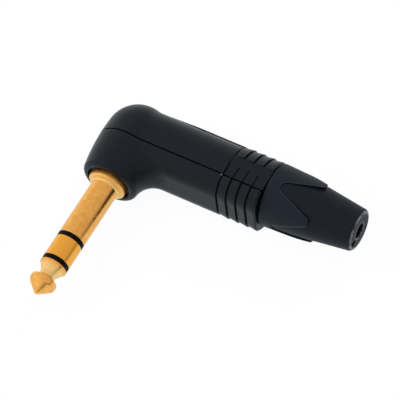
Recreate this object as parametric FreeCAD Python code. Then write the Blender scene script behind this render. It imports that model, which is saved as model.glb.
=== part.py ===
"""A right-angle 6.35 mm stereo jack plug: a die-cast elbow shell with a lift-off cover, a turned
three-pole plug finger, and a screw-on boot that closes a collet on the cable.

Frame: millimetres. The origin is on the finger's axis, in the face of the boss that meets the
socket. The tip points along -Y, the cable leaves along +X, and the plug lies on its side, so +Z
is up and both axes are level. The cable's axis runs along X at y = ELBOW_Y.
"""

import FreeCAD, Part
import math
import os

from FreeCAD import Vector

# Plug finger, measured along its own axis from the boss face
FINGER_D = 6.35
FINGER_LENGTH = 30.0
TIP_LENGTH = 7.8          # point to the first insulating ring
TIP_GAP_LENGTH = 1.1      # first insulating ring
RING_LENGTH = 5.4         # ring contact
RING_GAP_LENGTH = 1.1     # second insulating ring
GAP_SINK = 0.025          # how far the insulating rings lie under the contacts
CONTACT_EDGE = 0.08       # bevel on the contacts' ends
BOSS_RISE = 0.275         # boss and barrel stand this much above the sleeve
BOSS_LENGTH = 0.7
BOSS_EDGE = 0.15
BARREL_RISE = 0.325
BARREL_WALL = 1.15
FLANGE_RISE = 1.255
FLANGE_THICK = 2.0
FLANGE_EDGE = 0.3
FLANGE_PROUD = 1.04       # how far the flange stands out of the shell
INSULATOR_WALL = 0.75     # bush between sleeve and ring tube
RING_TUBE_WALL = 0.45
ROD_WALL = 0.43           # bush between ring tube and rod
FIT = 0.05                # radial room between turned parts that slide together

# Tip contact
TIP_BULB_SINK = 0.075     # bulb under the full diameter
TIP_BULB_BACK = 3.75      # bulb's back edge, from the point
TIP_BULB_ROUND = 1.2      # between the bulb and the point
TIP_BULB_BACK_ROUND = 0.3
TIP_NECK_D = 3.8
TIP_NECK_AT = 4.95        # middle of the neck, back from the point
TIP_NECK_LENGTH = 1.1
TIP_NECK_ROUND = 0.5
TIP_LAND = 0.32           # full-diameter land beside the insulating ring
TIP_STEP = 0.12           # from the land down to the cone
TIP_ROUND = 0.7           # radius of the point
TIP_CONE_DEG = 47.0       # half angle of the point

# Elbow shell
HEAD_R = 7.6              # widest radius of the head
ELBOW_Y = 15.2            # from the boss face to the cable's axis
HEAD_WIDEST = 3.0         # the head is widest this far towards the tip from the cable's axis
HEAD_DOME = 0.3           # and turns into its dome this far beyond that axis
HEAD_WALL = 2.0
RIM_INSET = 2.1           # crest of the rim, inside the head's widest radius
RIM_ROUND = 1.21
RIM_LAND = 0.3            # from the crest to the round recess that the flange sits in
FLOOR_THICK = 2.5         # wall that the finger is clamped to
BODY_STEP = 0.45          # body's sides, inside the head's
BODY_TOP_STEP = 0.28      # body's arch is lower than its half width by this
BODY_FOOT = 7.9           # cable axis to the body's face on the tip's side
BODY_CORNER = 4.6
BODY_WALL = 1.25
BODY_END = 24.02          # where the plain body ends and the grip begins
BLEND = 5.2               # fillet between the head and the body
SEAM = 4.08               # cable axis to the joint between shell and cover
SEAM_GAP = 0.28           # fine groove all along the joint
SEAM_DEPTH = 0.45
PAD_START = 3.0           # a plain pad on the cover comes out of the arch from here
PAD_FULL = 12.0           # and stands at its full height from here to the grip
PAD_HALF = 3.4
PAD_RISE = 0.33

# Grip rings
GRIP_RISE = 0.18          # rings beyond the body's sides
GRIP_FOOT_RISE = 0.08     # and beyond its foot
RING_COUNT = 4
RING_PITCH = 2.38
LAST_RING = 2.62
LAST_EDGE = 0.35          # bevel on the last ring's rear edge
GROOVE = 0.3
GROOVE_DEPTH = 0.75
TOOTH = 0.28              # rise of each ring towards the cable
FLAT_HALF = 1.25          # plain flat across the rings, half its height
FLAT_DEPTH = 0.42
FLAT_RISE = 0.3           # the flat's middle above the cable axis

# Threaded neck of the shell
NECK_INSET = 0.58         # where the neck starts, behind the grip's front
NECK_ROOM = 0.1           # neck to cover
NECK_WALL = 0.7
THREAD_RISE = 0.55
THREAD_LENGTH = 4.6
THREAD_ROOM = 0.1
TONGUE_THICK = 0.6
TONGUE_LENGTH = 1.8
TONGUE_STOP = 0.35        # tongue's end to the thread
KEY_WIDTH = 1.4
KEY_HIGH = 0.5
KEY_ROOM = 0.1

# Boot
BOOT_GAP = 0.3            # shell to boot
BOOT_LENGTH = 21.2
COLLAR_STEP = 0.03        # collar inside the rings
COLLAR_EDGE = 0.25
SKIRT_WALL = 1.5
SKIRT_ROOM = 0.15
SKIRT_LAP = 0.2           # skirt over the start of the thread
FEMALE_RUN = 0.3          # thread in the collar beyond the neck's end
PETALS = 4
PETAL_DRAFT = 0.45        # collar's radius to the petals' ends
PETAL_AT = 11.4           # petals' ends, from the boot's front
PETAL_TURN = 9.3          # degrees from +Z to the first valley
PETAL_TIP_HALF = 1.15
PETAL_TIP_ROUND = 0.65
VALLEY_AT = 2.85          # valleys' closed ends, from the boot's front
VALLEY_ROUND = 1.4
CORE_WALL = 0.55          # hard core under the rubber, at the thread
CORE_TAIL = 16.0          # core's end, from the boot's front
CORE_TAIL_WALL = 1.2
CORE_STEP = 0.45          # core's bore inside the chuck's nose
RUBBER_SINK = 0.18        # rubber under the collar at the valleys' closed ends
PETAL_PROUD = 0.75        # petals above the rubber at their ends
RUBBER_TAPER = 1.17       # from the petals' ends to the boot's end
RUBBER_ROUND = 0.85
CABLE_HOLE_D = 3.8
CABLE_HOLE_LENGTH = 3.0
PORT_D = 1.6              # small blind hole beside the cable hole
PORT_R = 3.1
PORT_DEPTH = 2.2
PORT_TURN = 108.0         # degrees from +Z towards the tip

# Chuck
CHUCK_INSET = 2.9         # chuck's front, behind the neck's start
CHUCK_ROOM = 0.1
CHUCK_WALL = 1.2
CHUCK_CONE = 3.2
CHUCK_TAPER = 0.6
CHUCK_SLOTS = 4
CHUCK_SLOT = 0.7
CHUCK_SLOT_LENGTH = 11.0
CONE_ROOM = 0.12
CONE_LEAD = 0.5           # from the neck's end to the chuck's cone
CHUCK_TEETH = 4           # rings cut inside the chuck's nose to bite on the cable
CHUCK_TOOTH_PITCH = 1.1
CHUCK_TOOTH_DEPTH = 0.3

# Clamping and soldering parts in the head
TAG_THICK = 0.4
TAG_RIM = 1.3             # tags' discs beyond the ring tube
TAG_END = 14.0
TAG_WIDTH = 2.3
TAG_OFFSET = 2.7
TAG_EYE_D = 1.3
LOCK_THICK = 0.5
LOCK_TEETH = 12
LOCK_RIM = 1.0            # toothed washer beyond the barrel
LOCK_TOOTH = 0.7
NUT_THICK = 2.0
NUT_RIM = 0.7             # from the barrel to the nut's flats
NUT_BEVEL_DEG = 30.0
WASHER_THICK = 0.8
WASHER_RIM = 0.7          # insulating washer beyond the barrel
TAG_WASHER_THICK = 1.0
TAG_WASHER_RIM = 1.0      # insulating washer beyond the ring tube
BARREL_LAP = 0.3          # barrel's end under the body's floor
RIVET_RIM = 0.58
RIVET_HIGH = 0.6
GROUND_RIM = 1.4          # earth washer beyond the barrel
GROUND_ROOM = 0.6         # head's bore to the rising strip
GROUND_WIDTH = 1.6
CLAMP_BACK = 3.1          # from the grip's front to the cable clamp
CLAMP_LENGTH = 2.6
CLAMP_HALF = 2.5
CLAMP_HIGH = 4.6
INSERT_ROOM = 0.2
INSERT_HALF = 4.2
INSERT_BACK = 3.5         # from the grip's front to the carrier's end
INSERT_RIB = 0.5
INSERT_RIB_HIGH = 1.5

# Places and radii that follow from the sizes above
FINGER_R = FINGER_D / 2
TIP_START = FINGER_LENGTH - TIP_LENGTH
RING_END = TIP_START - TIP_GAP_LENGTH
RING_START = RING_END - RING_LENGTH
SLEEVE_END = RING_START - RING_GAP_LENGTH
BOSS_R = FINGER_R + BOSS_RISE
BARREL_R = FINGER_R + BARREL_RISE
BARREL_HOLE_R = BARREL_R + FIT
FLANGE_R = FINGER_R + FLANGE_RISE
SLEEVE_BORE_R = BARREL_R - BARREL_WALL
RING_TUBE_R = SLEEVE_BORE_R - INSULATOR_WALL
RING_BORE_R = RING_TUBE_R - RING_TUBE_WALL
ROD_R = RING_BORE_R - ROD_WALL
FLANGE_FACE = BOSS_LENGTH
SEAT_Y = FLANGE_FACE + FLANGE_THICK
FLOOR_TOP = SEAT_Y + FLOOR_THICK
RIM_Y = FLANGE_FACE + FLANGE_PROUD
RIM_R = HEAD_R - RIM_INSET
RECESS_R = RIM_R - RIM_LAND
HEAD_BORE_R = HEAD_R - HEAD_WALL
HEAD_WIDEST_Y = ELBOW_Y - HEAD_WIDEST
HEAD_DOME_Y = ELBOW_Y + HEAD_DOME
BODY_HALF = HEAD_R - BODY_STEP
BODY_TOP = BODY_HALF - BODY_TOP_STEP
SEAM_Y = ELBOW_Y - SEAM
CAVITY_HALF = BODY_HALF - BODY_WALL
CAVITY_FOOT = BODY_FOOT - BODY_WALL
CAVITY_CORNER = BODY_CORNER - BODY_WALL
TRAY_Y = ELBOW_Y - CAVITY_FOOT
PAD_R = BODY_TOP + PAD_RISE
GRIP_R = BODY_HALF + GRIP_RISE
GRIP_CORNER = BODY_CORNER + GRIP_RISE
GRIP_FOOT = BODY_FOOT + GRIP_FOOT_RISE
GRIP_END = BODY_END + (RING_COUNT - 1) * RING_PITCH + LAST_RING
COLLAR_R = GRIP_R - COLLAR_STEP
SKIRT_R = COLLAR_R - SKIRT_WALL
TONGUE_OUT_R = SKIRT_R - SKIRT_ROOM
TONGUE_IN_R = TONGUE_OUT_R - TONGUE_THICK
NECK_R = TONGUE_IN_R - NECK_ROOM
NECK_BORE_R = NECK_R - NECK_WALL
NECK_START = BODY_END + NECK_INSET
THREAD_R = NECK_R + THREAD_RISE
THREAD_START = GRIP_END + TONGUE_LENGTH + TONGUE_STOP
NECK_END = THREAD_START + THREAD_LENGTH
KEY_Y = ELBOW_Y - NECK_BORE_R
CHUCK_START = NECK_START + CHUCK_INSET
CHUCK_R = NECK_BORE_R - CHUCK_ROOM
CHUCK_BORE_R = CHUCK_R - CHUCK_WALL
CHUCK_NOSE_R = CHUCK_R - CHUCK_TAPER
CONE_START = NECK_END + CONE_LEAD
CONE_END = CONE_START + CHUCK_CONE
BOOT_X = GRIP_END + BOOT_GAP
BOOT_END = BOOT_X + BOOT_LENGTH
SKIRT_END = THREAD_START + SKIRT_LAP
FEMALE_R = THREAD_R + THREAD_ROOM
FEMALE_END = NECK_END + FEMALE_RUN
PETAL_X = BOOT_X + PETAL_AT
PETAL_R = COLLAR_R - PETAL_DRAFT
CORE_R = FEMALE_R + CORE_WALL
CORE_BORE_R = CHUCK_NOSE_R - CORE_STEP
CORE_TAIL_R = CORE_BORE_R + CORE_TAIL_WALL
CORE_END = BOOT_X + CORE_TAIL
CORE_TAPER_X = FEMALE_END + CORE_WALL
RUBBER_FRONT_R = COLLAR_R - RUBBER_SINK
RUBBER_MID_R = PETAL_R - PETAL_PROUD
RUBBER_END_R = RUBBER_MID_R - RUBBER_TAPER
LOCK_Y = FLOOR_TOP + TAG_THICK
NUT_Y = LOCK_Y + LOCK_THICK
SLEEVE_BACK = TRAY_Y - BARREL_LAP
RING_TAG_Y = SLEEVE_BACK + WASHER_THICK
RING_TAG_TOP = RING_TAG_Y + TAG_THICK
TIP_TAG_Y = RING_TAG_TOP + TAG_WASHER_THICK
TIP_TAG_TOP = TIP_TAG_Y + TAG_THICK
GROUND_RISE_X = HEAD_BORE_R - GROUND_ROOM - TAG_THICK
GROUND_END = BODY_END - CLAMP_BACK
INSERT_START = HEAD_BORE_R + INSERT_ROOM
INSERT_END = BODY_END - INSERT_BACK
BEYOND = HEAD_R + BOOT_END    # longer than the plug is, for cuts that go right through
TOUCH = 0.001                 # nearer than this counts as the same place


def cable_axis(x=0.0):
    """A point on the cable's axis."""
    return Vector(x, ELBOW_Y, 0)


def profile_face(edges):
    return Part.Face(Part.Wire(edges))


def line(a, b):
    return Part.makeLine(a, b)


def arc(a, middle, b):
    return Part.Arc(a, middle, b).toShape()


def turned(points, centre, axis, radial):
    """A solid turned from (distance along the axis, radius) points."""
    corners = [centre + axis * along + radial * r for along, r in points]
    return Part.Face(Part.makePolygon(corners + corners[:1])).revolve(centre, axis, 360)


def finger_turned(points):
    """Turned about the finger's axis; each point is (distance towards the tip, radius)."""
    return turned(points, Vector(0, 0, 0), Vector(0, -1, 0), Vector(1, 0, 0))


def cable_turned(points):
    """Turned about the cable's axis; each point is (x, radius)."""
    return turned(points, cable_axis(), Vector(1, 0, 0), Vector(0, 0, 1))


def finger_rod(radius, start, end):
    return Part.makeCylinder(radius, end - start, Vector(0, start, 0), Vector(0, 1, 0))


def finger_tube(outer, inner, start, end):
    """A tube on the finger's axis between two y values."""
    return finger_rod(outer, start, end).cut(finger_rod(inner, start, end))


def cable_rod(radius, start, end):
    return Part.makeCylinder(radius, end - start, cable_axis(start), Vector(1, 0, 0))


def block(x, y, z):
    """A box from three (low, high) pairs."""
    return Part.makeBox(x[1] - x[0], y[1] - y[0], z[1] - z[0], Vector(x[0], y[0], z[0]))


def section(x, half, top, foot, corner):
    """The body's outline across the cable's axis: an arch, two upright sides and a squarer foot."""
    def at(p, z):
        return Vector(x, ELBOW_Y - p, z)

    ellipse_edge = arch_edge(x, half, top)
    low = foot - corner
    lean = corner * (1 - math.sqrt(0.5))
    edges = [
        ellipse_edge,
        line(at(0, half), at(low, half)),
        arc(at(low, half), at(foot - lean, half - lean), at(foot, half - corner)),
        line(at(foot, half - corner), at(foot, corner - half)),
        arc(at(foot, corner - half), at(foot - lean, lean - half), at(low, -half)),
        line(at(low, -half), at(0, -half)),
    ]
    return Part.Wire(Part.__sortEdges__(edges))


def arch_edge(x, half, top):
    """Half an ellipse over the cable's axis, or half a circle, from +Z to -Z by way of +Y."""
    centre = cable_axis(x)
    if half == top:
        return arc(centre + Vector(0, 0, half), centre + Vector(0, top, 0), centre - Vector(0, 0, half))
    curve = Part.Ellipse(centre + Vector(0, 0, half), centre + Vector(0, top, 0), centre)
    return Part.ArcOfEllipse(curve, 0, math.pi).toShape()


def prism(start, end, half, top, foot, corner):
    face = Part.Face(section(start, half, top, foot, corner))
    return face.extrude(Vector(end - start, 0, 0))


def head_solid():
    """The round head: a rolled rim, a slightly barrelled side and a dome, turned about the finger."""
    side_r = RIM_R + RIM_ROUND
    side_y = RIM_Y + RIM_ROUND
    drop = HEAD_R - side_r
    rise = HEAD_WIDEST_Y - side_y
    barrel_r = (drop * drop + rise * rise) / (2 * drop)
    barrel_x = HEAD_R - barrel_r

    def on_barrel(y):
        return barrel_x + math.sqrt(barrel_r ** 2 - (y - HEAD_WIDEST_Y) ** 2)

    dome_x = on_barrel(HEAD_DOME_Y)
    dome_y = HEAD_WIDEST_Y - barrel_x * (HEAD_DOME_Y - HEAD_WIDEST_Y) / (dome_x - barrel_x)
    dome_r = math.hypot(dome_x, HEAD_DOME_Y - dome_y)
    half_turn = math.radians(45)
    start_angle = math.atan2(HEAD_DOME_Y - dome_y, dome_x)
    mid_angle = (start_angle + math.pi / 2) / 2
    rim_mid = Vector(RIM_R + RIM_ROUND * math.sin(half_turn), side_y - RIM_ROUND * math.cos(half_turn), 0)
    dome_mid = Vector(dome_r * math.cos(mid_angle), dome_y + dome_r * math.sin(mid_angle), 0)
    mid_y = (side_y + HEAD_DOME_Y) / 2
    top = Vector(0, dome_y + dome_r, 0)
    foot = Vector(0, RIM_Y, 0)
    edges = [
        line(foot, Vector(RIM_R, RIM_Y, 0)),
        arc(Vector(RIM_R, RIM_Y, 0), rim_mid, Vector(side_r, side_y, 0)),
        arc(Vector(side_r, side_y, 0), Vector(on_barrel(mid_y), mid_y, 0), Vector(dome_x, HEAD_DOME_Y, 0)),
        arc(Vector(dome_x, HEAD_DOME_Y, 0), dome_mid, top),
        line(top, foot),
    ]
    return profile_face(edges).revolve(Vector(0, 0, 0), Vector(0, 1, 0), 360), dome_y, dome_r


def elbow_blank():
    """Head and body joined by a fillet all round the line where they meet."""
    head = head_solid()[0]
    body = prism(0, BODY_END, BODY_HALF, BODY_TOP, BODY_FOOT, BODY_CORNER)
    joined = head.fuse(body).removeSplitter()
    meeting = []
    for edge in joined.Edges:
        middle = edge.valueAt((edge.FirstParameter + edge.LastParameter) / 2)
        near_body = body.Shells[0].distToShape(Part.Vertex(middle))[0] < TOUCH
        near_head = head.Shells[0].distToShape(Part.Vertex(middle))[0] < TOUCH
        if near_body and near_head:
            meeting.append(edge)
    return joined.makeFillet(BLEND, meeting)


def grip_ring(start, end, rise):
    """One tooth of the grip: a tapered band, fuller at its end towards the cable."""
    front = GRIP_R - rise
    small = section(start, front, front, GRIP_FOOT - rise, GRIP_CORNER - rise)
    full = section(end, GRIP_R, GRIP_R, GRIP_FOOT, GRIP_CORNER)
    return Part.makeLoft([small, full], True, True)


def grip_solid():
    """The ringed grip behind the body, with a plain flat along each side."""
    low = GRIP_R - GROOVE_DEPTH
    low_corner = GRIP_CORNER - GROOVE_DEPTH
    grip = prism(BODY_END - GROOVE, GRIP_END, low, low, GRIP_FOOT - GROOVE_DEPTH, low_corner)
    for index in range(RING_COUNT):
        start = BODY_END + GROOVE + index * RING_PITCH
        last = index == RING_COUNT - 1
        end = GRIP_END - LAST_EDGE if last else start + RING_PITCH - GROOVE
        grip = grip.fuse(grip_ring(start, end, TOOTH))
    full = section(GRIP_END - LAST_EDGE, GRIP_R, GRIP_R, GRIP_FOOT, GRIP_CORNER)
    edge = GRIP_R - LAST_EDGE
    small = section(GRIP_END, edge, edge, GRIP_FOOT - LAST_EDGE, GRIP_CORNER - LAST_EDGE)
    grip = grip.fuse(Part.makeLoft([full, small], True, True))
    flat_z = GRIP_R - FLAT_DEPTH
    low_y = ELBOW_Y + FLAT_RISE - FLAT_HALF
    high_y = low_y + 2 * FLAT_HALF
    grip = grip.fuse(block((BODY_END, GRIP_END), (low_y, high_y), (-flat_z, flat_z)))
    for side in (-1, 1):
        outside = sorted((side * flat_z, side * BEYOND))
        grip = grip.cut(block((BODY_END, BEYOND), (SEAM_Y, high_y), outside))
    return grip


def housing_blank():
    """Shell and cover in one, before they are hollowed and parted."""
    return elbow_blank().fuse(grip_solid())


def seam_groove():
    """The thin gap that runs round the outside where the two castings meet."""
    low = SEAM_Y - SEAM_GAP / 2
    level = (low, low + SEAM_GAP)
    half = BODY_HALF - SEAM_DEPTH
    corner = BODY_CORNER - SEAM_DEPTH
    inner = Part.makeCylinder(HEAD_R - SEAM_DEPTH, SEAM_GAP, Vector(0, low, 0), Vector(0, 1, 0))
    inner = inner.fuse(prism(0, GRIP_END - SEAM_DEPTH, half, half, BODY_FOOT - SEAM_DEPTH, corner))
    return block((-BEYOND, BEYOND), level, (-BEYOND, BEYOND)).cut(inner)


def cable_cavity():
    """The room inside the body for wires and tags."""
    return prism(0, NECK_START, CAVITY_HALF, BODY_TOP - BODY_WALL, CAVITY_FOOT, CAVITY_CORNER)


def head_room():
    """The round room inside the head, domed at its far end."""
    dome_y = head_solid()[1]
    dome = Part.makeSphere(HEAD_BORE_R, Vector(0, dome_y, 0))
    return finger_rod(HEAD_BORE_R, FLOOR_TOP, dome_y).fuse(dome)


def neck_form(radius, start, end):
    """A round neck with upright sides below its middle, so that the cover can lift off it."""
    upright = block((start, end), (SEAM_Y - SEAM_GAP, ELBOW_Y), (-radius, radius))
    return cable_rod(radius, start, end).fuse(upright)


def lower_shell(blank, groove):
    """Casting with the finger's floor, the wire tray and the threaded neck."""
    above = block((-BEYOND, BEYOND), (SEAM_Y, BEYOND), (-BEYOND, BEYOND))
    shell = blank.cut(above).cut(groove)
    shell = shell.cut(finger_rod(RECESS_R, -BEYOND, SEAT_Y)).cut(finger_rod(BARREL_HOLE_R, 0, FLOOR_TOP))
    shell = shell.cut(head_room()).cut(cable_cavity())
    neck = neck_form(NECK_R, NECK_START, GRIP_END).fuse(cable_rod(NECK_R, NECK_START, NECK_END))
    shell = shell.fuse(neck).cut(cable_rod(NECK_BORE_R, BODY_END, BEYOND))
    key_base = KEY_Y - NECK_WALL / 2
    key = block((NECK_START, NECK_END), (key_base, KEY_Y + KEY_HIGH), (-KEY_WIDTH / 2, KEY_WIDTH / 2))
    return shell.fuse(key).removeSplitter()


def top_cover(blank, groove):
    """Casting that lifts off the shell once the boot has freed its tongue."""
    below = block((-BEYOND, BEYOND), (-BEYOND, SEAM_Y), (-BEYOND, BEYOND))
    upper_half = block((0, BEYOND), (ELBOW_Y, BEYOND), (-BEYOND, BEYOND))
    pad_width = block((0, BEYOND), (ELBOW_Y, BEYOND), (-PAD_HALF, PAD_HALF))
    cover = blank.cut(below).cut(groove)
    pad = [(PAD_START, 0), (PAD_START, BODY_TOP), (PAD_FULL, PAD_R), (BODY_END, PAD_R), (BODY_END, 0)]
    cover = cover.fuse(cable_turned(pad).common(pad_width))
    cover = cover.cut(head_room()).cut(cable_cavity())
    cover = cover.cut(neck_form(TONGUE_IN_R, NECK_START - NECK_ROOM, BEYOND))
    root = GRIP_END - LAST_EDGE - TONGUE_THICK
    tongue = cable_rod(TONGUE_OUT_R, root, GRIP_END + TONGUE_LENGTH)
    tongue = tongue.cut(cable_rod(TONGUE_IN_R, 0, BEYOND)).common(upper_half)
    return cover.fuse(tongue).removeSplitter()


def petal_valley(number):
    """The tapering opening between two petals, drawn flat and cut in from the side."""
    closed = BOOT_X + VALLEY_AT + VALLEY_ROUND
    half_pitch = math.pi / PETALS
    tip_side = PETAL_R * math.sin(half_pitch - PETAL_TIP_HALF / PETAL_R)
    tip_middle = PETAL_R * math.sin(half_pitch)
    shoulder = PETAL_X - PETAL_TIP_ROUND
    slope = math.atan2(tip_side - VALLEY_ROUND, shoulder - closed)
    outer = PETAL_X + VALLEY_ROUND

    def at(x, across):
        return Vector(x, ELBOW_Y, across)

    def rim(side):
        touch_x = closed - VALLEY_ROUND * math.sin(slope)
        return at(touch_x, side * VALLEY_ROUND * math.cos(slope))

    lean = PETAL_TIP_ROUND * (1 - math.sqrt(0.5))
    blunt = tip_side + PETAL_TIP_ROUND
    edges = [
        arc(rim(-1), at(closed - VALLEY_ROUND, 0), rim(1)),
        line(rim(1), at(shoulder, tip_side)),
        arc(at(shoulder, tip_side), at(PETAL_X - lean, tip_side + lean), at(PETAL_X, blunt)),
        line(at(PETAL_X, blunt), at(PETAL_X, tip_middle)),
        line(at(PETAL_X, tip_middle), at(outer, tip_middle)),
        line(at(outer, tip_middle), at(outer, -tip_middle)),
        line(at(outer, -tip_middle), at(PETAL_X, -tip_middle)),
        line(at(PETAL_X, -tip_middle), at(PETAL_X, -blunt)),
        arc(at(PETAL_X, -blunt), at(PETAL_X - lean, -tip_side - lean), at(shoulder, -tip_side)),
        line(at(shoulder, -tip_side), rim(-1)),
    ]
    valley = Part.Face(Part.Wire(edges)).extrude(Vector(0, -2 * COLLAR_R, 0))
    turn = PETAL_TURN - 90 + number * 360 / PETALS
    valley.rotate(cable_axis(), Vector(1, 0, 0), turn)
    return valley


def core_outer():
    """Outer line of the hard core, as (x, radius)."""
    return [(CORE_TAPER_X, CORE_R), (CORE_END, CORE_TAIL_R)]


def boot_collar():
    """Hard collar, core and petals, moulded as one: it turns on the shell's thread."""
    front = BOOT_X + VALLEY_AT / 2
    seat = CHUCK_R + CONE_ROOM
    nose = CHUCK_NOSE_R + CONE_ROOM
    nose_x = CONE_END + CONE_ROOM
    inside = [
        (CORE_END, CORE_BORE_R), (nose_x, CORE_BORE_R), (nose_x, nose),
        (CONE_START, seat), (FEMALE_END, seat), (FEMALE_END, FEMALE_R),
        (SKIRT_END, FEMALE_R), (SKIRT_END, SKIRT_R), (BOOT_X, SKIRT_R),
    ]
    edge = [(BOOT_X, COLLAR_R - COLLAR_EDGE), (BOOT_X + COLLAR_EDGE, COLLAR_R)]
    petals = [(PETAL_X, PETAL_R), (PETAL_X, CORE_TAIL_R)]
    kept = [(front, CORE_BORE_R), (front, CORE_R)] + core_outer() + [(CORE_END, CORE_BORE_R)]
    core = cable_turned(kept)
    collar = cable_turned(edge + petals + core_outer()[1:] + inside)
    for number in range(PETALS):
        collar = collar.cut(petal_valley(number).cut(core))
    return collar.removeSplitter()


def boot_sleeve(collar):
    """Soft strain relief moulded round the core and between the petals."""
    front = BOOT_X + VALLEY_AT / 2
    face = BOOT_END - RUBBER_ROUND
    hole = CABLE_HOLE_D / 2

    def at(x, radius):
        return Vector(x, ELBOW_Y, radius)

    lean = RUBBER_ROUND * (1 - math.sqrt(0.5))
    corners = [
        (BOOT_END, RUBBER_END_R - RUBBER_ROUND), (BOOT_END, hole), (BOOT_END - CABLE_HOLE_LENGTH, hole),
        (CORE_END, CORE_BORE_R), (CORE_END, CORE_TAIL_R), (CORE_TAPER_X, CORE_R), (front, CORE_R),
        (front, RUBBER_FRONT_R), (PETAL_X, RUBBER_MID_R), (face, RUBBER_END_R),
    ]
    edges = [line(at(*a), at(*b)) for a, b in zip(corners, corners[1:])]
    rounding = arc(at(*corners[-1]), at(BOOT_END - lean, RUBBER_END_R - lean), at(*corners[0]))
    rubber = profile_face(edges + [rounding]).revolve(cable_axis(), Vector(1, 0, 0), 360)
    turn = math.radians(PORT_TURN)
    centre = cable_axis(BOOT_END - PORT_DEPTH) + Vector(0, -math.sin(turn), math.cos(turn)) * PORT_R
    port = Part.makeCylinder(PORT_D / 2, BEYOND, centre, Vector(1, 0, 0))
    return rubber.cut(collar).cut(port)


def cable_chuck():
    """Slotted collet, keyed in the neck: the boot's cone closes its nose on the cable."""
    points = [
        (CHUCK_START, CHUCK_BORE_R), (CHUCK_START, CHUCK_R), (CONE_START, CHUCK_R),
        (CONE_END, CHUCK_NOSE_R), (CONE_END, CHUCK_BORE_R),
    ]
    for tooth in range(CHUCK_TEETH):
        back = CONE_END - (tooth + 0.5) * CHUCK_TOOTH_PITCH
        points.append((back, CHUCK_BORE_R))
        points.append((back - CHUCK_TOOTH_PITCH / 4, CHUCK_BORE_R + CHUCK_TOOTH_DEPTH))
        points.append((back - CHUCK_TOOTH_PITCH / 2, CHUCK_BORE_R))
    chuck = cable_turned(points)
    half = KEY_WIDTH / 2 + KEY_ROOM
    keyway = block((0, BEYOND), (-BEYOND, KEY_Y + KEY_HIGH + KEY_ROOM), (-half, half))
    chuck = chuck.cut(keyway)
    slot_start = CONE_END - CHUCK_SLOT_LENGTH
    for number in range(CHUCK_SLOTS):
        slot = block((slot_start, BEYOND), (ELBOW_Y, BEYOND), (-CHUCK_SLOT / 2, CHUCK_SLOT / 2))
        slot.rotate(cable_axis(), Vector(1, 0, 0), (number + 0.5) * 360 / CHUCK_SLOTS)
        chuck = chuck.cut(slot)
    return chuck


def plug_sleeve():
    """Sleeve contact: tube, boss, flange and the threaded barrel, turned from one bar."""
    return finger_turned([
        (SLEEVE_END, SLEEVE_BORE_R), (SLEEVE_END, FINGER_R - CONTACT_EDGE),
        (SLEEVE_END - CONTACT_EDGE, FINGER_R), (0, FINGER_R), (0, BOSS_R - BOSS_EDGE),
        (-BOSS_EDGE, BOSS_R), (-FLANGE_FACE, BOSS_R),
        (-FLANGE_FACE, FLANGE_R - FLANGE_EDGE), (-FLANGE_FACE - FLANGE_EDGE, FLANGE_R),
        (-SEAT_Y, FLANGE_R), (-SEAT_Y, BARREL_R), (-SLEEVE_BACK, BARREL_R), (-SLEEVE_BACK, SLEEVE_BORE_R),
    ])


def ring_insulator():
    """Black bush between sleeve and ring contacts, with its visible collar."""
    collar = FINGER_R - GAP_SINK
    return finger_turned([
        (RING_START, RING_TUBE_R), (RING_START, collar), (SLEEVE_END, collar),
        (SLEEVE_END, SLEEVE_BORE_R), (-SLEEVE_BACK, SLEEVE_BORE_R), (-SLEEVE_BACK, RING_TUBE_R),
    ])


def plug_ring():
    """Ring contact: a short drum on a tube that runs back to the ring's tag."""
    edge = FINGER_R - CONTACT_EDGE
    return finger_turned([
        (RING_END, RING_BORE_R), (RING_END, edge), (RING_END - CONTACT_EDGE, FINGER_R),
        (RING_START + CONTACT_EDGE, FINGER_R), (RING_START, edge), (RING_START, RING_TUBE_R),
        (-RING_TAG_TOP, RING_TUBE_R), (-RING_TAG_TOP, RING_BORE_R),
    ])


def tip_insulator():
    """Black bush between ring and tip contacts, with its visible collar."""
    collar = FINGER_R - GAP_SINK
    return finger_turned([
        (TIP_START, ROD_R), (TIP_START, collar), (RING_END, collar),
        (RING_END, RING_BORE_R), (-RING_TAG_TOP, RING_BORE_R), (-RING_TAG_TOP, ROD_R),
    ])


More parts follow.
